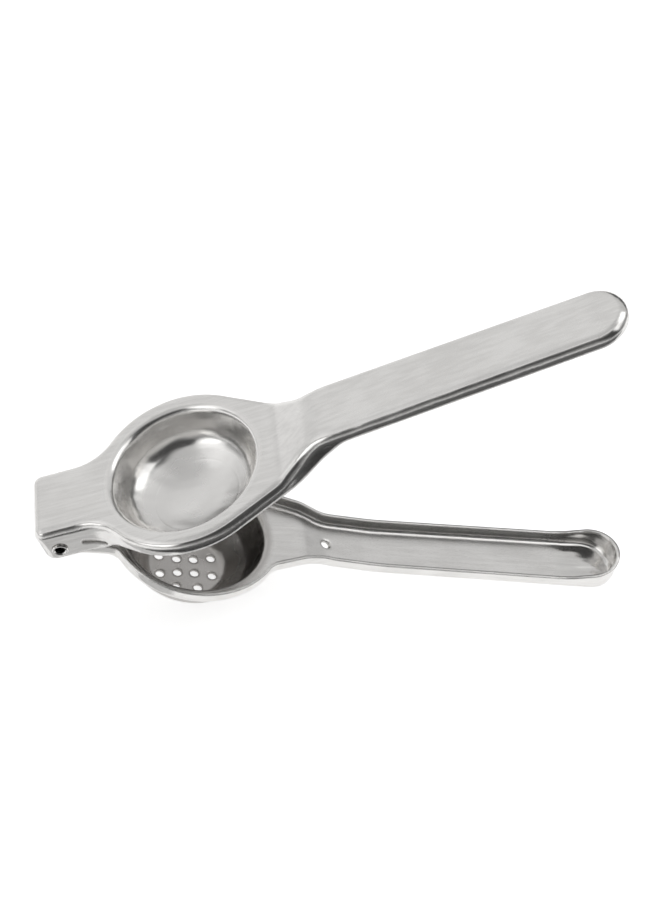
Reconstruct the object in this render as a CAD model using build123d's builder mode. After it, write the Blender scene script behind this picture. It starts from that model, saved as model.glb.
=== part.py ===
"""Hinged lemon squeezer pressed from stainless sheet.

Three pieces: the strainer arm (lower), the press arm (upper) and the hollow hinge rivet.
Each arm is drawn level in its own frame, hinge axis at the origin, handle along +X, Z up.
It is then turned about the hinge axis into the pose in which the tool stands on a table:
bowl and lower handle tip touch the table, the press arm stands open.
Frame of the whole part: origin at the centre of the hinge axis, +Y along that axis.
"""
import os
from math import asin, atan2, cos, degrees, radians, sin, sqrt, tan

from build123d import *

os.makedirs("parts", exist_ok=True)

# ---- driving dimensions: millimetres and degrees ------------------------------------------
SHEET = 1.2                 # sheet thickness of both arms
CUP_X = 51.45               # hinge axis to the axis of cup and bowl, on both arms
OPEN_ANGLE = 28.05          # press arm above strainer arm, plates, as the tool stands
SIDE_GAP = 0.3              # free play beside each press arm ear, both faces
CLEAR = 0.5                 # cuts and joints keep this far off bends that they must not touch

# press arm
PRESS_TOP = 10.25           # top face of the plate above the hinge axis
PRESS_FLANGE = 5.3          # depth of the turned-down edge
PRESS_RING_R = 35.4         # outside of the round plate
PRESS_HINGE_W = 14.8        # half width across the ears
PRESS_BACK = -7.0           # back edge
PRESS_BACK_CORNER = 3.7     # its corner radius, seen from above
PRESS_SCOOP_R = 18.0        # hollow curve between ears and round plate
PRESS_NECK_ANGLE = 29.06    # taper from the round plate to the handle, each side
PRESS_NECK_OUT_R = 20.0     # curve from that taper into the handle
PRESS_HANDLE_W = ((CUP_X + 58.5, 13.1), (CUP_X + 156.5, 12.3))  # half width of the handle at two x
PRESS_END = 221.0           # tip of the handle
PRESS_BEND_R = 3.4          # outside radius where the edge turns down
PRESS_STEP = (CUP_X + 34.55, CUP_X + 52.65, PRESS_TOP + 9.6)    # neck: from x, to x, up to z
PRESS_STEP_R = (12.0, 30.0)              # curves at its foot and head
PRESS_HANDLE_SLOPE = 7.24   # the handle rises from the head of the neck
PRESS_HANDLE_FLANGE = 4.85   # depth of the turned-down edge along the handle
PRESS_RIM_STEP = (CUP_X + 44.25, 33.4)   # its rim leaves plate level here, rises at this angle
PRESS_RIM_STEP_R = (22.0, 12.0)
EAR_DROP = 4.6              # bottom of the ears below the hinge axis
EAR_BACK_R = 5.6            # round lower back corner of the ear
EAR_RISE = (21.25, 40.0, 9.2)            # ear bottom rises to the rim: middle x, angle, radius
SLOT = ((9.8, 0.8), (17.0, -0.8), 2.1)   # slot in each ear: centre of one end, other end, width

# pressing cup: its inside face, as radius (in from the plate's edge) and depth below the plate
CUP_WALL_TOP_R = PRESS_RING_R - 7.6
CUP_KNEE = (CUP_WALL_TOP_R - 3.7, 13.6)
CUP_FLOOR_EDGE = (CUP_WALL_TOP_R - 11.4, 17.2)
CUP_DEPTH = 19.5
CUP_RADII = (2.8, 9.0, 3.0)              # lip, knee, floor edge

# strainer arm
BOWL_TOP = -3.86            # top face of the plate
BOWL_FLANGE = 4.92          # height of the turned-up edge above it
BOWL_RING_R = 33.35         # outside of the round rim
BOWL_BACK = -3.0            # back edge, open
BOWL_SCOOP_R = 6.0          # hollow curve between lugs and round rim
BOWL_NECK_ANGLE = 17.4      # taper of the neck, each side
BOWL_NECK_DIST = BOWL_RING_R - 8.0       # bowl axis to the outside of the neck, square to it
BOWL_NECK_IN_R = 7.0        # tight curve from the round rim into the neck
BOWL_NECK_OUT_R = 16.0      # curve from the neck into the handle
BOWL_HANDLE_W = ((CUP_X + 58.5, 11.15), (CUP_X + 156.5, 11.9))  # half width at two x
BOWL_END = 220.9            # tip of the handle
BOWL_BEND_R = 3.0           # outside radius of the turned-up edge
BOWL_STEPS = ((CUP_X + 41.25, BOWL_TOP, 12.0), (CUP_X + 52.35, BOWL_TOP - 3.49, 25.0),
              (CUP_X + 70.55, BOWL_TOP - 5.55, 80.0))           # the neck drops: x, z, radius
BOWL_HANDLE_SLOPE = -1.28   # the handle falls on towards its tip
BOWL_TIP = (BOWL_END - 21.9, 0.235, 40.0)    # from this x the rim climbs by this slope, radius
LUG_R = 5.0                 # round ears of the strainer arm about the hinge axis
LUG_BLEND = (11.0, 10.0, 16.0)           # they meet the rim at this x, radius, foot to this x
NECK_HOLE = (CUP_X + 51.5, 3.0, 4.15)    # small hole in the neck: x, diameter, dished out to

# straining bowl: its inside face, as radius (in from the rim) and depth below the plate
BOWL_WALL_TOP_R = BOWL_RING_R - 6.25
BOWL_DEPTH = 21.1
BOWL_KNEE = (BOWL_WALL_TOP_R - 4.7, BOWL_DEPTH - 8.1)
BOWL_FLOOR_EDGE_R = BOWL_WALL_TOP_R - 12.5
BOWL_RADII = (2.0, 4.0, 3.4)             # lip, knee, floor edge
DRAIN_D = 3.4               # drain holes
DRAIN_RINGS = ((4, 4.64, 45.0), (8, 10.96, 22.5))    # count, radius, first angle

# hinge rivet
RIVET_R = 2.4               # outside, a tight fit in the lugs
RIVET_BORE_R = 1.85         # it is hollow
RIVET_FIT = 0.05            # running clearance in the ears of the press arm
RIVET_HEAD_R = 3.0
RIVET_HEAD_T = 0.5
RIVET_MOUTH = 0.45          # bevel of the bore's mouths
RIVET_EDGE = 0.3            # bevel of the heads

BOWL_HINGE_W = PRESS_HINGE_W - SHEET - SIDE_GAP     # half width across the strainer arm's lugs
FAR = PRESS_RING_R + CUP_DEPTH           # beyond the part, above, below, behind and beside it
FAR_X = max(PRESS_END, BOWL_END) + FAR   # beyond the handle tips


# ---- helpers -------------------------------------------------------------------------------
def arc_about(centre, start, end):
    """The shorter arc from start to end about centre."""
    c, p, q = Vector(*centre), Vector(*start), Vector(*end)
    ThreePointArc(p, c + ((p - c) + (q - c)).normalized() * (p - c).length, q)


def arm_plan(back, corner, hinge_w, scoop, ring, angle, dist, neck_in, neck_out, handle_w, end,
             inset=0.0):
    """Outline of an arm seen from above; inset moves all of it inwards."""
    w, r, h = hinge_w - inset, ring - inset, dist - inset
    a = radians(angle)
    (x1, w1), (x2, w2) = handle_w
    b = atan2(w2 - w1, x2 - x1)
    side = (w1 - (x1 - CUP_X) * tan(b)) * cos(b)     # cup axis to the side of the handle
    tip_r = (side + sin(b) * (end - CUP_X)) / (1 + sin(b)) - inset
    tip, side = end - inset - tip_r, side - inset
    rho_b, rho_i, rho_o = scoop + inset, neck_in + inset, neck_out + inset
    # hollow curve behind the ring
    sc = (CUP_X - sqrt((ring + scoop) ** 2 - (hinge_w + scoop) ** 2), hinge_w + scoop)
    s1 = (sc[0], w)
    k = r / (ring + scoop)
    s2 = (CUP_X + k * (sc[0] - CUP_X), k * sc[1])
    # neck line: points (x, y) with sin(a) (x - CUP_X) + cos(a) y = h
    along = sqrt(max(0.0, (r + rho_i) ** 2 - (h + rho_i) ** 2)) if neck_in else 0.0
    nc = (CUP_X + (h + rho_i) * sin(a) + along * cos(a), (h + rho_i) * cos(a) - along * sin(a))
    n1 = (CUP_X + r * sin(a), r * cos(a))
    if neck_in:
        k = r / (r + rho_i)
        n1 = (CUP_X + k * (nc[0] - CUP_X), k * nc[1])
        n2 = (nc[0] - rho_i * sin(a), nc[1] - rho_i * cos(a))
    # curve into the handle
    t = rho_o * tan((a + b) / 2)
    xc = (h * cos(b) - side * cos(a)) / sin(a + b)
    yc = (side * sin(a) + h * sin(b)) / sin(a + b)
    h1 = (CUP_X + xc - t * cos(a), yc + t * sin(a))
    h2 = (CUP_X + xc + t * cos(b), yc + t * sin(b))
    hc = (h2[0] - rho_o * sin(b), h2[1] + rho_o * cos(b))
    tip_on = (tip - tip_r * sin(b), tip_r * cos(b))
    with BuildSketch() as plan:
        with BuildLine():
            x0, cr = back + inset, corner - inset
            if corner:
                Line((x0, 0), (x0, w - cr))
                arc_about((x0 + cr, w - cr), (x0, w - cr), (x0 + cr, w))
                Line((x0 + cr, w), s1)
            else:
                Line((x0, 0), (x0, w))
                Line((x0, w), s1)
            arc_about(sc, s1, s2)
            arc_about((CUP_X, 0), s2, n1)
            if neck_in:
                arc_about(nc, n1, n2)
                Line(n2, h1)
            else:
                Line(n1, h1)
            arc_about(hc, h1, h2)
            Line(h2, tip_on)
            arc_about((tip, 0), tip_on, (tip + tip_r, 0))
            mirror(about=Plane.XZ)
        make_face()
    return plan.sketch


def side_region(corners):
    """Region of the side view from (x, z, radius) corners, drawn out to both sides."""
    with BuildPart() as body:
        with BuildSketch(Plane.XZ) as view:
            with BuildLine():
                Polyline(*[(x, z) for x, z, _ in corners], close=True)
            make_face()
            for x, z, radius in corners:
                if radius:
                    fillet(view.vertices().sort_by_distance((x, z, 0))[0], radius)
        extrude(amount=FAR, both=True)
    return body.part


def parallel(corners, drop):
    """The same side line moved square to itself, down by drop; radii follow."""
    lines = []
    for (x1, z1, _), (x2, z2, _) in zip(corners, corners[1:]):
        a = atan2(z2 - z1, x2 - x1)
        lines.append((a, x1 + drop * sin(a), z1 - drop * cos(a)))
    out = [(lines[0][1], lines[0][2], 0)]
    for (a, x1, z1), (b, x2, z2), (_, _, radius) in zip(lines, lines[1:], corners[1:]):
        s = ((x2 - x1) * sin(b) - (z2 - z1) * cos(b)) / sin(b - a)
        out.append((x1 + s * cos(a), z1 + s * sin(a), radius + (drop if b > a else -drop)))
    a, (x, z, _) = lines[-1][0], corners[-1]
    return out + [(x + drop * sin(a), z - drop * cos(a), 0)]


def level(corners, x):
    """Height of a side line at x, corners taken sharp."""
    for (x1, z1, _), (x2, z2, _) in zip(corners, corners[1:]):
        if x <= x2:
            return z1 + (z2 - z1) * (x - x1) / (x2 - x1)
    return corners[-1][1]


def bend_edges(part, line, back):
    """Edges round the outline that follow a side line, without those that cross the arm."""
    found = []
    for e in part.edges():
        m, d = e.position_at(0.5), e.tangent_at(0.5)
        across = e.geom_type == GeomType.LINE and abs(d.Y) > 0.99 and m.X > back
        upright = e.geom_type == GeomType.LINE and abs(d.Z) > 0.9
        if abs(m.Z - level(line, m.X)) < 2 * SHEET and not across and not upright:
            found.append(e)
    return found


def dished_sheet(corners, floor_arc, reach):
    """Revolved sheet under an inside profile of (radius, depth, fillet) corners."""
    with BuildSketch(Plane.XZ) as air:
        with BuildLine():
            right = [(r, -d) for r, d, _ in corners]
            left = [(-r, z) for r, z in reversed(right)]
            Polyline((-FAR, 0), *left)
            Polyline(*right, (FAR, 0))
            if floor_arc:
                ThreePointArc(left[-1], (0, -floor_arc), right[0])
            else:
                Line(left[-1], right[0])
            Polyline((FAR, 0), (FAR, FAR), (-FAR, FAR), (-FAR, 0))
        make_face()
        for r, d, radius in corners:
            for side in (-1, 1):
                fillet(air.vertices().sort_by_distance((side * r, -d, 0))[0], radius)
    with BuildPart() as sheet:
        with BuildSketch(Plane.XZ):
            add(air.sketch_local)
            offset(amount=SHEET)
            add(air.sketch_local, mode=Mode.SUBTRACT)
            with Locations((reach / 2, -FAR / 2)):
                Rectangle(reach, FAR, mode=Mode.INTERSECT)
        revolve(axis=Axis.Z)
    return sheet.part


# ---- press arm, level: plate on top, edge turned down, ears around the hinge ----------------
step_x, head_x, head_z = PRESS_STEP
handle_a, rim_a = radians(PRESS_HANDLE_SLOPE), radians(PRESS_RIM_STEP[1])
press_top = [(-FAR, PRESS_TOP, 0), (step_x, PRESS_TOP, PRESS_STEP_R[0]),
             (head_x, head_z, PRESS_STEP_R[1]),
             (FAR_X, head_z + (FAR_X - head_x) * tan(handle_a), 0)]
rim_z = PRESS_TOP - PRESS_FLANGE
rim_x = PRESS_RIM_STEP[0]
grip_z = head_z - PRESS_HANDLE_FLANGE        # the handle's rim line, drawn back to head_x
grip_x = (grip_z - rim_z - head_x * tan(handle_a) + rim_x * tan(rim_a)) / (tan(rim_a) - tan(handle_a))
press_rim = [(rim_x, rim_z, PRESS_RIM_STEP_R[0]),
             (grip_x, grip_z + (grip_x - head_x) * tan(handle_a), PRESS_RIM_STEP_R[1]),
             (FAR_X, grip_z + (FAR_X - head_x) * tan(handle_a), 0)]
rise_x, rise_angle, rise_r = EAR_RISE
half_rise = (rim_z + EAR_DROP) / tan(radians(rise_angle)) / 2
ear_rim = [(PRESS_BACK, -EAR_DROP, EAR_BACK_R), (rise_x - half_rise, -EAR_DROP, rise_r),
           (rise_x + half_rise, rim_z, rise_r)]
press_band = side_region([(PRESS_BACK, PRESS_TOP, 0)] + press_top[1:] + press_rim[::-1]
                         + ear_rim[::-1])
PRESS_PLAN = dict(back=PRESS_BACK, corner=PRESS_BACK_CORNER, hinge_w=PRESS_HINGE_W,
                  scoop=PRESS_SCOOP_R, ring=PRESS_RING_R, angle=PRESS_NECK_ANGLE,
                  dist=PRESS_RING_R, neck_in=0.0, neck_out=PRESS_NECK_OUT_R,
                  handle_w=PRESS_HANDLE_W, end=PRESS_END)
press_under = parallel(press_top, SHEET)

with BuildPart() as press_inside:
    with BuildSketch(Plane.XY.offset(-FAR)):
        add(arm_plan(**PRESS_PLAN, inset=SHEET))
    extrude(amount=2 * FAR)
    add(side_region(press_under + [(FAR_X, -FAR, 0), (-FAR, -FAR, 0)]), mode=Mode.INTERSECT)
    fillet(bend_edges(press_inside.part, press_under, PRESS_BACK + PRESS_BEND_R),
           PRESS_BEND_R - SHEET)

with BuildPart() as press:
    with BuildSketch(Plane.XY.offset(-FAR)):
        add(arm_plan(**PRESS_PLAN))
    extrude(amount=2 * FAR)
    add(press_band, mode=Mode.INTERSECT)
    fillet(bend_edges(press.part, press_top, PRESS_BACK + PRESS_BEND_R), PRESS_BEND_R)
    add(press_inside.part, mode=Mode.SUBTRACT)
    # the back edge is turned down only as far as the rim, between the ears
    with Locations((PRESS_BACK, 0, rim_z)):
        Box(2 * (PRESS_BACK_CORNER + CLEAR), 2 * (PRESS_HINGE_W - SHEET), FAR,
            align=(Align.CENTER, Align.CENTER, Align.MAX), mode=Mode.SUBTRACT)
    # opening for the cup, and the cup
    cup_reach = PRESS_RING_R - PRESS_BEND_R - CLEAR
    with Locations((CUP_X, 0, PRESS_TOP)):
        Cylinder(cup_reach, 4 * SHEET, mode=Mode.SUBTRACT)
        add(dished_sheet([(*CUP_FLOOR_EDGE, CUP_RADII[2]), (*CUP_KNEE, CUP_RADII[1]),
                          (CUP_WALL_TOP_R, 0.0, CUP_RADII[0])], CUP_DEPTH, cup_reach))
    # rivet holes and slots through both ears
    with BuildSketch(Plane.XZ):
        Circle(RIVET_R + RIVET_FIT)
        (sx, sz), (ex, ez), slot_w = SLOT
        slot_turn = degrees(atan2(ez - sz, ex - sx))
        with Locations(Location(((sx + ex) / 2, (sz + ez) / 2, 0), slot_turn)):
            SlotOverall(sqrt((ex - sx) ** 2 + (ez - sz) ** 2) + slot_w, slot_w)
    extrude(amount=FAR / 2, both=True, mode=Mode.SUBTRACT)

# ---- strainer arm, level: plate below, edge turned up, lugs around the hinge -----------------
bowl_rim_z = BOWL_TOP + BOWL_FLANGE
last_x, last_z, _ = BOWL_STEPS[-1]
bowl_slope = radians(BOWL_HANDLE_SLOPE)
bowl_floor = [(-FAR, BOWL_TOP, 0), *BOWL_STEPS,
              (FAR_X, last_z + (FAR_X - last_x) * tan(bowl_slope), 0)]
bowl_under = parallel(bowl_floor, SHEET)
tip_x, tip_slope, tip_r = BOWL_TIP
tip_rim_z = level(bowl_floor, FAR_X) + BOWL_FLANGE + tip_slope * (FAR_X - tip_x)
bowl_rim = [(x, z + BOWL_FLANGE, radius) for x, z, radius in bowl_floor[:-1]]
bowl_rim += [(tip_x, level(bowl_floor, tip_x) + BOWL_FLANGE, tip_r), (FAR_X, tip_rim_z, 0)]
BOWL_PLAN = dict(back=BOWL_BACK, corner=0.0, hinge_w=BOWL_HINGE_W, scoop=BOWL_SCOOP_R,
                 ring=BOWL_RING_R, angle=BOWL_NECK_ANGLE, dist=BOWL_NECK_DIST,
                 neck_in=BOWL_NECK_IN_R, neck_out=BOWL_NECK_OUT_R, handle_w=BOWL_HANDLE_W,
                 end=BOWL_END)
CLOSED_PLAN = {**BOWL_PLAN, "back": BOWL_BACK - 2 * BOWL_BEND_R}     # before its back is cut open

with BuildPart() as bowl_inside:
    with BuildSketch(Plane.XY.offset(-FAR)):
        add(arm_plan(**CLOSED_PLAN, inset=SHEET))
    extrude(amount=2 * FAR)
    add(side_region(bowl_floor + [(FAR_X, FAR, 0), (-FAR, FAR, 0)]), mode=Mode.INTERSECT)
    fillet(bend_edges(bowl_inside.part, bowl_floor, -FAR), BOWL_BEND_R - SHEET)

with BuildPart() as strainer:
    with BuildSketch(Plane.XY.offset(-FAR)):
        add(arm_plan(**CLOSED_PLAN))
    extrude(amount=2 * FAR)
    add(side_region(bowl_under + bowl_rim[::-1]), mode=Mode.INTERSECT)
    fillet(bend_edges(strainer.part, bowl_under, -FAR), BOWL_BEND_R)
    add(bowl_inside.part, mode=Mode.SUBTRACT)
    # open back edge
    with Locations((BOWL_BACK, 0, 0)):
        Box(FAR, FAR, FAR, align=(Align.MAX, Align.CENTER, Align.CENTER), mode=Mode.SUBTRACT)
    # lugs standing on the turned-up edge
    lug_low = bowl_under[0][1] + BOWL_BEND_R + CLEAR
    blend_x, blend_r, foot_x = LUG_BLEND
    with BuildSketch(Plane.XZ.offset(BOWL_HINGE_W)) as lug:
        with Locations(((BOWL_BACK + foot_x) / 2, (lug_low + bowl_rim_z) / 2)):
            Rectangle(foot_x - BOWL_BACK, bowl_rim_z - lug_low)
        Circle(LUG_R)
        # from the foot a straight line runs up and touches the round of the lug
        reach = sqrt(blend_x ** 2 + bowl_rim_z ** 2 - LUG_R ** 2)
        touch_a = atan2(bowl_rim_z, blend_x) + atan2(reach, LUG_R)
        touch = (LUG_R * cos(touch_a), LUG_R * sin(touch_a))
        with BuildLine():
            Polyline((0, 0), touch, (blend_x, bowl_rim_z), (blend_x, lug_low), (0, 0))
        make_face()
        fillet(lug.vertices().sort_by_distance((blend_x, bowl_rim_z, 0))[0], blend_r)
        with Locations((0, lug_low)):
            Rectangle(FAR, FAR, align=(Align.CENTER, Align.MAX), mode=Mode.SUBTRACT)
    extrude(amount=-SHEET)
    mirror(extrude(lug.sketch, amount=-SHEET, mode=Mode.PRIVATE), about=Plane.XZ)
    # opening for the bowl, the bowl and its drain holes
    bowl_reach = BOWL_RING_R - BOWL_BEND_R - CLEAR
    with Locations((CUP_X, 0, BOWL_TOP)):
        Cylinder(bowl_reach, 4 * SHEET, mode=Mode.SUBTRACT)
        add(dished_sheet([(BOWL_FLOOR_EDGE_R, BOWL_DEPTH, BOWL_RADII[2]),
                          (*BOWL_KNEE, BOWL_RADII[1]),
                          (BOWL_WALL_TOP_R, 0.0, BOWL_RADII[0])], None, bowl_reach))
        with Locations((0, 0, -BOWL_DEPTH)):
            for count, ring, first in DRAIN_RINGS:
                with PolarLocations(ring, count, start_angle=first):
                    Cylinder(DRAIN_D / 2, 4 * SHEET, mode=Mode.SUBTRACT)
    # rivet holes
    with BuildSketch(Plane.XZ):
        Circle(RIVET_R)
    extrude(amount=FAR / 2, both=True, mode=Mode.SUBTRACT)
    # small dished hole in the neck
    hole_x, hole_d, dish_d = NECK_HOLE
    (foot, foot_z, _), (head, head_z, _) = BOWL_STEPS[:2]
    hole_turn = degrees(atan2(foot_z - head_z, head - foot))
    with Locations(Location((hole_x, 0, level(bowl_floor, hole_x)), (0, hole_turn, 0))):
        Cylinder(hole_d / 2, 4 * SHEET, mode=Mode.SUBTRACT)
        Cone(hole_d / 2, dish_d - hole_d / 2, SHEET, mode=Mode.SUBTRACT)

# ---- rivet ------------------------------------------------------------------------------------
head_in = PRESS_HINGE_W + SIDE_GAP
head_out = head_in + RIVET_HEAD_T
with BuildPart() as rivet:
    with BuildSketch(Plane.XY) as wall:
        with BuildLine():
            Polyline((RIVET_BORE_R, -head_out), (RIVET_HEAD_R, -head_out), (RIVET_HEAD_R, -head_in),
                     (RIVET_R, -head_in), (RIVET_R, head_in), (RIVET_HEAD_R, head_in),
                     (RIVET_HEAD_R, head_out), (RIVET_BORE_R, head_out), close=True)
        make_face()
        for side in (-1, 1):
            for x, cut in ((RIVET_BORE_R, RIVET_MOUTH), (RIVET_HEAD_R, RIVET_EDGE)):
                chamfer(wall.vertices().sort_by_distance((x, side * head_out, 0))[0], cut)
    revolve(axis=Axis.Y)

# ---- standing pose ------------------------------------------------------------------------------
# the table touches the round edge of the bowl's floor and the round edge of the handle tip
bend_b = BOWL_RADII[2] + SHEET
flat_r = BOWL_FLOOR_EDGE_R - BOWL_RADII[2] * tan(atan2(BOWL_DEPTH - BOWL_KNEE[1],
                                                       BOWL_KNEE[0] - BOWL_FLOOR_EDGE_R) / 2)
bowl_c = (CUP_X + flat_r, BOWL_TOP - BOWL_DEPTH - SHEET + bend_b)
tip_at = BOWL_END - BOWL_BEND_R
tip_c = (tip_at, level(bowl_under, tip_at) + BOWL_BEND_R / cos(bowl_slope))
gap_x, gap_z = tip_c[0] - bowl_c[0], tip_c[1] - bowl_c[1]
LEAN = degrees(atan2(gap_z, gap_x) + asin((bend_b - BOWL_BEND_R) / sqrt(gap_x ** 2 + gap_z ** 2)))
TABLE_Z = bowl_c[1] * cos(radians(LEAN)) - bowl_c[0] * sin(radians(LEAN)) - bend_b

for name, body, turn in (("strainer_arm", strainer.part, LEAN),
                         ("press_arm", press.part, LEAN - OPEN_ANGLE),
                         ("hinge_rivet", rivet.part, LEAN)):
    body = Rot(0, turn, 0) * body
    body.label = name
    export_step(body, f"parts/{name}.step")
    box = body.bounding_box()
    print(name, f"solids {len(body.solids())} valid {body.is_valid} volume {body.volume:.0f}",
          f"box {box.min.X:.2f} {box.min.Y:.2f} {box.min.Z:.2f} to {box.max.X:.2f} {box.max.Y:.2f}",
          f"{box.max.Z:.2f}")
print(f"lean {LEAN:.3f} degrees, table at z {TABLE_Z:.3f}")
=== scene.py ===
"""Hinged lemon squeezer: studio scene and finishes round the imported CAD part.

The CAD nodes keep their shapes. This file gives them their steel, sets up the table, the
light round it and the camera.
"""
import math

import bpy
from mathutils import Matrix, Vector


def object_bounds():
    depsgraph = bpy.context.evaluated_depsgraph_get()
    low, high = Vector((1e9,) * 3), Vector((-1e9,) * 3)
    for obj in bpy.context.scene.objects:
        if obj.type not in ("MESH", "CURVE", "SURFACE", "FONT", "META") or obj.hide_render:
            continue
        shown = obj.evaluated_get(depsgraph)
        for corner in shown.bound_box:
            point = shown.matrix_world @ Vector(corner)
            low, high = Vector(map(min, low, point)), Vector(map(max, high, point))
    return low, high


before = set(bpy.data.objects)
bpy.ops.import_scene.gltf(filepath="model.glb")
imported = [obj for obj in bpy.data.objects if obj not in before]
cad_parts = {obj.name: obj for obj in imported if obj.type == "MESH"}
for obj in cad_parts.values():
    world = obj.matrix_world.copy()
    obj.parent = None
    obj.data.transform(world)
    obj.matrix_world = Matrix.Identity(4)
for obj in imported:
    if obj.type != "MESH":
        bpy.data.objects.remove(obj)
cad_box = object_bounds()

# ---- driving values: metres and degrees, in the CAD's frame ---------------------------------
LEAN = 5.0                  # strainer arm's plate above level, handle end down
OPEN_ANGLE = 28.05          # press arm's plate above the strainer arm's
CUP_X = 0.05145             # hinge axis to the axis of cup and bowl, along either arm

# camera: what it looks at, from where, and how it is held
CAMERA_TARGET = Vector((0.0965, -0.0003, 0.0398))
CAMERA_AZIMUTH = 14.2       # to the left of square on
CAMERA_ELEVATION = 48.6
CAMERA_ROLL = 11.0
CAMERA_DISTANCE = 0.7965
IMAGE_HEIGHT = 900          # pixels
FOCAL_PIXELS = 2189.0
SENSOR = 36.0

TABLE_Z = cad_box[0].z
TABLE_SIZE = 30.0


# ---- node helpers -----------------------------------------------------------------------------
class Nodes:
    """Short words for building a shader tree."""

    def __init__(self, tree):
        self.tree = tree
        tree.nodes.clear()

    def add(self, kind, **settings):
        node = self.tree.nodes.new(kind)
        for name, value in settings.items():
            setattr(node, name, value)
        return node

    def put(self, value, socket):
        """A number or colour goes on the socket, an output is linked to it."""
        if isinstance(value, bpy.types.NodeSocket):
            self.tree.links.new(value, socket)
        else:
            socket.default_value = value

    def math(self, operation, a, b=0.0, clamp=False):
        node = self.add("ShaderNodeMath", operation=operation, use_clamp=clamp)
        self.put(a, node.inputs[0])
        self.put(b, node.inputs[1])
        return node.outputs[0]

    def vector(self, operation, a, b=None):
        """Vector maths. A length or a dot product gives a number, the rest a vector."""
        node = self.add("ShaderNodeVectorMath", operation=operation)
        self.put(a, node.inputs[0])
        if b is not None:
            self.put(b, node.inputs[1])
        return node.outputs["Value" if operation in ("LENGTH", "DOT_PRODUCT") else "Vector"]

    def step(self, value, low, high, to_low=0.0, to_high=1.0):
        """Smooth step of value from low to high."""
        node = self.add("ShaderNodeMapRange", interpolation_type="SMOOTHSTEP")
        for socket, v in zip(node.inputs, (value, low, high, to_low, to_high)):
            self.put(v, socket)
        return node.outputs[0]

    def band(self, value, low, high, soft, top=1.0):
        """top from low to high, with each border faded over soft to either side."""
        rising = self.step(value, low - soft, low + soft)
        falling = self.step(value, high + soft, high - soft, 0.0, top)
        return self.math("MULTIPLY", rising, falling)

    def mix(self, share, a, b):
        """Colour between a and b."""
        node = self.add("ShaderNodeMix", data_type="RGBA")
        self.put(share, node.inputs[0])
        self.put(a, node.inputs[6])
        self.put(b, node.inputs[7])
        return node.outputs[2]

    def blend(self, share, a, b):
        """Number between a and b."""
        node = self.add("ShaderNodeMix", data_type="FLOAT")
        for socket, v in zip((node.inputs[0], node.inputs[2], node.inputs[3]), (share, a, b)):
            self.put(v, socket)
        return node.outputs[0]

    def noise(self, vector, scale, detail=2.0, roughness=0.5):
        node = self.add("ShaderNodeTexNoise")
        self.put(vector, node.inputs["Vector"])
        self.put(scale, node.inputs["Scale"])
        self.put(detail, node.inputs["Detail"])
        self.put(roughness, node.inputs["Roughness"])
        return node.outputs["Fac"]

    def bump(self, height, distance, normal=None, strength=1.0):
        """Normal roughened by height, a texture, times distance in metres."""
        node = self.add("ShaderNodeBump")
        self.put(height, node.inputs["Height"])
        self.put(distance, node.inputs["Distance"])
        self.put(strength, node.inputs["Strength"])
        if normal is not None:
            self.put(normal, node.inputs["Normal"])
        return node.outputs[0]

    def stretched(self, vector, turn, scale):
        """Coordinates turned about Y by turn degrees, then scaled."""
        turned = self.add("ShaderNodeVectorRotate", rotation_type="Y_AXIS")
        self.put(vector, turned.inputs["Vector"])
        self.put(math.radians(turn), turned.inputs["Angle"])
        return self.vector("MULTIPLY", turned.outputs[0], scale)

    def surface(self, shader, kind="ShaderNodeOutputMaterial"):
        self.put(shader.outputs[0], self.add(kind).inputs["Surface"])

    def metal(self, colour, roughness, normal):
        bsdf = self.add("ShaderNodeBsdfPrincipled")
        bsdf.inputs["Metallic"].default_value = 1.0
        self.put(colour, bsdf.inputs["Base Color"])
        self.put(roughness, bsdf.inputs["Roughness"])
        self.put(normal, bsdf.inputs["Normal"])
        self.surface(bsdf)


def grey(value):
    return (value, value, value, 1.0)


def new_material(name):
    material = bpy.data.materials.new(name)
    material.use_nodes = True
    return material, Nodes(material.node_tree)


# ---- steel --------------------------------------------------------------------------------------
STEEL = (0.79, 0.78, 0.765, 1.0)
STEEL_DARKER = (0.70, 0.69, 0.675, 1.0)
BOWL_PAINTED_SHADE = (0.50, 0.485, 0.47, 1.0)    # inside of the bowl, not brushed; steel darkened as painted shade where it lies under the press arm
RIVET_STEEL = (0.78, 0.77, 0.76, 1.0)
RIVET_DARKER = (0.66, 0.65, 0.64, 1.0)

# roughness, least and most
SATIN = (0.26, 0.35)        # brushed flat faces
POLISHED = (0.13, 0.19)     # bends, tips and the wall of the dish
DISH_SATIN = (0.24, 0.31)   # floor of the dish
RIVET_POLISH = (0.10, 0.18)

FLAT_FACE = (0.80, 0.88)    # cosine to the plate's normal: brushing starts, and is full
DISH_R = 0.0295             # dish of cup or bowl, about its axis
DISH_FADE = 0.0015
DISH_FLOOR_R = 0.0205       # the dish is satin inside this radius
DISH_FLOOR_FADE = 0.003
WALL_SATIN = 0.4            # share of the floor's satin on the wall
STRAINER_TIP_X = 0.197      # the arms are polished beyond these, along either one
PRESS_TIP_X = 0.214
TIP_FADE = 0.006

# noise: cycles per metre along, across and through an arm, or the same all round
BRUSH_LINES = (140.0, 9000.0, 9000.0)
BRUSH_PATCHES = (60.0, 700.0, 700.0)
POLISH_WAVES = (90.0, 150.0, 150.0)
CLOUDS = 55.0
SPECKS = 1400.0
RIVET_RINGS = 9000.0
RIVET_CLOUDS = 300.0

EDGE_ROUND = 0.0014         # softened look of edges and bends
WAVE_HEIGHT = 0.0004
TIP_WAVES = 2.5             # times the height elsewhere
GRAIN_HEIGHT = 0.00002      # of brush lines, specks and the rivet's rings
GRAIN = 0.12                # how strongly it shows
RIVET_GRAIN = 0.15
FLOOR_EDGE_R = 0.0164       # where the cup's floor meets its sloping wall
SWEEP_R = 0.007             # that border is softened this far to either side
SWEEP_HEIGHT = 0.00033      # by a swell of this height


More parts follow.
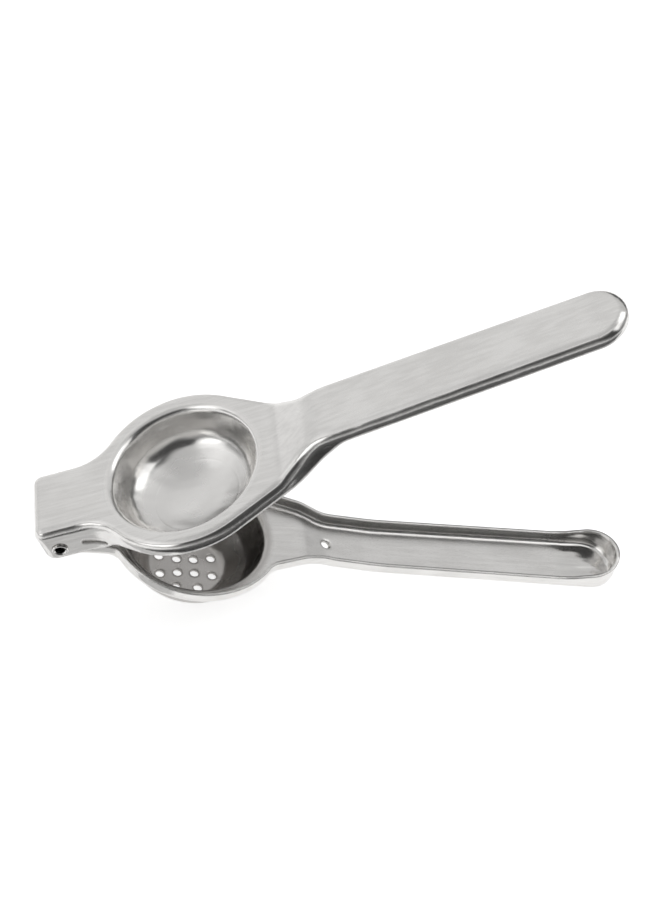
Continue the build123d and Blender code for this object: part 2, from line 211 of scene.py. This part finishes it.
def arm_steel(name, tilt, polished_from, dish_colour_and_shade, sweep=0.0):
    """Pressed stainless sheet: flat faces brushed along the arm, bends and dish polished.

    tilt is the plate's turn about +Y in degrees, out of level. Beyond polished_from along the
    arm its tip is polished too. The dish has a colour of its own, for the strainer's bowl a
    darker steel as painted shade, and sweep is the height that softens its floor's border.
    """
    material, n = new_material(name)
    place = n.add("ShaderNodeTexCoord")
    where, normal = place.outputs["Object"], place.outputs["Normal"]
    plate = (math.sin(math.radians(tilt)), 0.0, math.cos(math.radians(tilt)))
    along = Vector((plate[2], 0.0, -plate[0]))
    level = n.step(n.math("ABSOLUTE", n.vector("DOT_PRODUCT", normal, plate)), *FLAT_FACE)
    from_axis = n.vector("SUBTRACT", where, along * CUP_X)
    reach = n.vector("LENGTH", n.vector("CROSS_PRODUCT", from_axis, plate))
    outside = n.step(reach, DISH_R - DISH_FADE, DISH_R + DISH_FADE)
    inner = n.step(n.vector("DOT_PRODUCT", where, along),
                   polished_from + TIP_FADE, polished_from - TIP_FADE)
    flat = n.math("MULTIPLY", n.math("MULTIPLY", level, outside), inner)

    # brushing: long fine lines along the arm, broken by patches
    lines = n.noise(n.stretched(where, -tilt, BRUSH_LINES), 1.0, 3.0, 0.6)
    patches = n.noise(n.stretched(where, -tilt, BRUSH_PATCHES), 1.0, 2.0, 0.5)
    clouds = n.noise(where, CLOUDS, 3.0, 0.55)
    specks = n.noise(where, SPECKS, 2.0, 0.6)
    shade = n.step(n.blend(0.5, clouds, patches), 0.35, 0.65)
    # inside the dish the given dish colour; on the strainer's bowl that is a darker steel as
    # painted shade
    colour = n.mix(outside, dish_colour_and_shade, n.mix(shade, STEEL_DARKER, STEEL))

    satin = n.step(lines, 0.3, 0.7, *SATIN)
    shiny = n.step(clouds, 0.3, 0.7, *POLISHED)
    dish_satin = n.step(clouds, 0.3, 0.7, *DISH_SATIN)
    on_floor = n.step(reach, DISH_FLOOR_R + DISH_FLOOR_FADE, DISH_FLOOR_R - DISH_FLOOR_FADE,
                      WALL_SATIN, 1.0)
    bare = n.blend(outside, n.blend(on_floor, shiny, dish_satin), shiny)
    roughness = n.blend(flat, bare, satin)

    edges = n.add("ShaderNodeBevel", samples=6)
    edges.inputs["Radius"].default_value = EDGE_ROUND
    # hand polishing leaves the bright faces faintly wavy, the tip most of all
    waves = n.noise(n.stretched(where, -tilt, POLISH_WAVES), 1.0, 1.0, 0.4)
    bright = n.math("SUBTRACT", 1.0, flat)
    hand = n.math("MULTIPLY", n.math("MULTIPLY", waves, bright), n.blend(inner, TIP_WAVES, 1.0))
    face = n.bump(hand, WAVE_HEIGHT, edges.outputs[0])
    if sweep:
        rise = n.math("DIVIDE", n.math("SUBTRACT", reach, FLOOR_EDGE_R - SWEEP_R), SWEEP_R, True)
        fall = n.math("DIVIDE", n.math("SUBTRACT", FLOOR_EDGE_R + SWEEP_R, reach), SWEEP_R, True)
        face = n.bump(n.math("POWER", n.math("MULTIPLY", rise, fall), 2.0), sweep, face)
    grain = n.blend(flat, specks, lines)
    n.metal(colour, roughness, n.bump(grain, GRAIN_HEIGHT, face, GRAIN))
    return material


def rivet_steel():
    """Turned and polished stainless: fine rings about the hinge axis."""
    material, n = new_material("rivet_steel")
    where = n.add("ShaderNodeTexCoord").outputs["Object"]
    radius = n.vector("LENGTH", n.vector("MULTIPLY", where, (1.0, 0.0, 1.0)))
    rings = n.add("ShaderNodeTexNoise", noise_dimensions="1D")
    n.put(n.math("MULTIPLY", radius, RIVET_RINGS), rings.inputs["W"])
    colour = n.mix(n.step(n.noise(where, RIVET_CLOUDS), 0.35, 0.65), RIVET_DARKER, RIVET_STEEL)
    roughness = n.step(rings.outputs["Fac"], 0.3, 0.7, *RIVET_POLISH)
    n.metal(colour, roughness, n.bump(rings.outputs["Fac"], GRAIN_HEIGHT, strength=RIVET_GRAIN))
    return material


FINISHES = {
    # the strainer's bowl gets a darker steel inside: painted shade under the press arm
    "strainer_arm": arm_steel("strainer_steel", LEAN, STRAINER_TIP_X, BOWL_PAINTED_SHADE),
    "press_arm": arm_steel("press_steel", LEAN - OPEN_ANGLE, PRESS_TIP_X, STEEL,
                           SWEEP_HEIGHT),
    "hinge_rivet": rivet_steel(),
}
for node_name, material in FINISHES.items():
    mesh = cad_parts[node_name]
    mesh.material_slots[0].material = material


# ---- table --------------------------------------------------------------------------------------
FLOOR_COLOUR = grey(0.80)
FLOOR_LIFT = 0.70           # what the camera sees on top of the lit floor
FLOOR_GLOSS_LIFT = 0.62     # what reflections see on top of it
CARD_LIFT = 0.001           # the cards lie this far above the table
# Grey cards, seen by reflections only, as a studio flag is: x from and to, y from and to, then
# the y and level where a card's shade starts to change towards the front, and where it ends.
CARDS = (
    ("card_front", (-0.06, 0.90), (-0.900, -0.068), (-0.097, 0.05), (-0.130, 0.13)),
    ("card_hinge", (-0.06, 0.03), (-0.066, -0.030), (-0.040, 0.60), (-0.060, 0.68)),
)


def lay_sheet(name, x, y, z, material):
    """A level rectangle over the ranges x and y."""
    mesh = bpy.data.meshes.new(name)
    corners = [(x[0], y[0], z), (x[1], y[0], z), (x[1], y[1], z), (x[0], y[1], z)]
    mesh.from_pydata(corners, [], [(0, 1, 2, 3)])
    mesh.materials.append(material)
    sheet = bpy.data.objects.new(name, mesh)
    bpy.context.scene.collection.objects.link(sheet)
    return sheet


def make_card(name, x, y, near, far):
    material, n = new_material(name)
    place = n.add("ShaderNodeSeparateXYZ")
    n.put(n.add("ShaderNodeTexCoord").outputs["Object"], place.inputs[0])
    glow = n.add("ShaderNodeEmission")
    n.put(n.step(place.outputs["Y"], far[0], near[0], far[1], near[1]), glow.inputs["Strength"])
    n.surface(glow)
    card = lay_sheet(name, x, y, TABLE_Z + CARD_LIFT, material)
    card.visible_camera = card.visible_diffuse = card.visible_shadow = False


def make_floor():
    material, n = new_material("table_white")
    bsdf = n.add("ShaderNodeBsdfDiffuse")
    bsdf.inputs["Color"].default_value = FLOOR_COLOUR
    rays = n.add("ShaderNodeLightPath")
    seen = n.math("MULTIPLY", rays.outputs["Is Camera Ray"], FLOOR_LIFT)
    mirrored = n.math("MULTIPLY", rays.outputs["Is Glossy Ray"], FLOOR_GLOSS_LIFT)
    glow = n.add("ShaderNodeEmission")
    n.put(n.math("ADD", seen, mirrored), glow.inputs["Strength"])
    both = n.add("ShaderNodeAddShader")
    n.put(bsdf.outputs[0], both.inputs[0])
    n.put(glow.outputs[0], both.inputs[1])
    n.surface(both)
    reach = (-TABLE_SIZE / 2, TABLE_SIZE / 2)
    floor = lay_sheet("table", reach, reach, TABLE_Z, material)


# ---- light --------------------------------------------------------------------------------------
KEY_PLACE = (0.72, -0.05, 1.05)
KEY_AIM = (0.10, 0.0, 0.0)
KEY_SIZE = (0.95, 0.95)
KEY_POWER = 3.1             # watts
PANEL_SOFT = 7.0            # neighbours fade into each other this far either side of a border
# Soft panels round the object, as angles about its long axis (0 behind, 90 overhead, 180 in
# front) and towards its handle end (+) or hinge end (-): (name, from, to, from, to, level).
PANELS = (
    ("low back, hinge end", -40, 28, -72, -45, 0.68),
    ("low back", -40, 28, -45, 0, 0.80),
    ("low back, handle side", -40, 28, 0, 60, 0.08),
    ("back, hinge side", 28, 62, -72, -10, 0.84),
    ("back, middle", 28, 62, -10, 10, 0.72),
    ("back, handle side", 28, 62, 10, 60, 0.67),
    ("high back, hinge end", 62, 92, -72, -45, 1.12),
    ("high back, hinge side", 62, 92, -45, -10, 0.53),
    ("high back, handle side", 62, 92, -10, 60, 0.84),
    ("overhead, hinge end", 92, 125, -72, -42, 1.20),
    ("overhead, hinge side", 92, 125, -42, -10, 0.58),
    ("overhead, handle side", 92, 125, -10, 60, 0.10),
    ("high front, hinge end", 125, 160, -72, -40, 1.84),
    ("high front", 125, 160, -40, 60, 0.06),
    ("front", 160, 220, -72, 20, 0.30),
    ("front, handle side", 160, 220, 20, 60, 0.12),
    ("hinge end", -90, 270, -97, -72, 0.24),
    ("handle end", -90, 270, 60, 97, 0.32),
)


def make_world():
    world = bpy.data.worlds.new("studio")
    bpy.context.scene.world = world
    world.use_nodes = True
    n = Nodes(world.node_tree)
    way = n.add("ShaderNodeSeparateXYZ")
    n.put(n.add("ShaderNodeTexCoord").outputs["Generated"], way.inputs[0])
    x, y, z = way.outputs
    degree = math.pi / 180
    aside = n.math("DIVIDE", n.math("ARCSINE", x), degree)
    round_x = n.math("DIVIDE", n.math("ARCTAN2", z, y), degree)
    below_front = n.math("LESS_THAN", round_x, -90.0)
    about = n.math("ADD", round_x, n.math("MULTIPLY", below_front, 360.0))
    level = 0.0
    for _, about_from, about_to, aside_from, aside_to, strength in PANELS:
        high = n.band(about, about_from, about_to, PANEL_SOFT, strength)
        wide = n.band(aside, aside_from, aside_to, PANEL_SOFT)
        level = n.math("ADD", level, n.math("MULTIPLY", high, wide))
    camera = n.add("ShaderNodeLightPath").outputs["Is Camera Ray"]
    background = n.add("ShaderNodeBackground")
    background.inputs["Color"].default_value = grey(1.0)
    n.put(n.blend(camera, level, 1.0), background.inputs["Strength"])
    n.surface(background, "ShaderNodeOutputWorld")


def make_key():
    data = bpy.data.lights.new("key", "AREA")
    data.shape = "RECTANGLE"
    data.size, data.size_y = KEY_SIZE
    data.energy = KEY_POWER
    lamp = bpy.data.objects.new("key", data)
    lamp.location = KEY_PLACE
    lamp.rotation_mode = "QUATERNION"
    lamp.rotation_quaternion = (Vector(KEY_PLACE) - Vector(KEY_AIM)).to_track_quat("Z", "Y")
    bpy.context.scene.collection.objects.link(lamp)


def make_camera():
    a, e = math.radians(CAMERA_AZIMUTH), math.radians(CAMERA_ELEVATION)
    back = Vector((-math.sin(a) * math.cos(e), -math.cos(a) * math.cos(e), math.sin(e)))
    level = Vector((math.cos(a), -math.sin(a), 0.0))
    right = Matrix.Rotation(math.radians(CAMERA_ROLL), 3, back) @ level
    up = back.cross(right)
    data = bpy.data.cameras.new("camera")
    data.sensor_fit = "VERTICAL"
    data.sensor_height = SENSOR
    data.lens = FOCAL_PIXELS * SENSOR / IMAGE_HEIGHT
    camera = bpy.data.objects.new("camera", data)
    camera.rotation_mode = "QUATERNION"
    camera.rotation_quaternion = Matrix((right, up, back)).transposed().to_quaternion()
    camera.location = CAMERA_TARGET + CAMERA_DISTANCE * back
    bpy.context.scene.collection.objects.link(camera)
    bpy.context.scene.camera = camera


for row in CARDS:
    make_card(*row)
make_floor()
make_world()
make_key()
make_camera()
bpy.context.scene.view_settings.view_transform = "Standard"
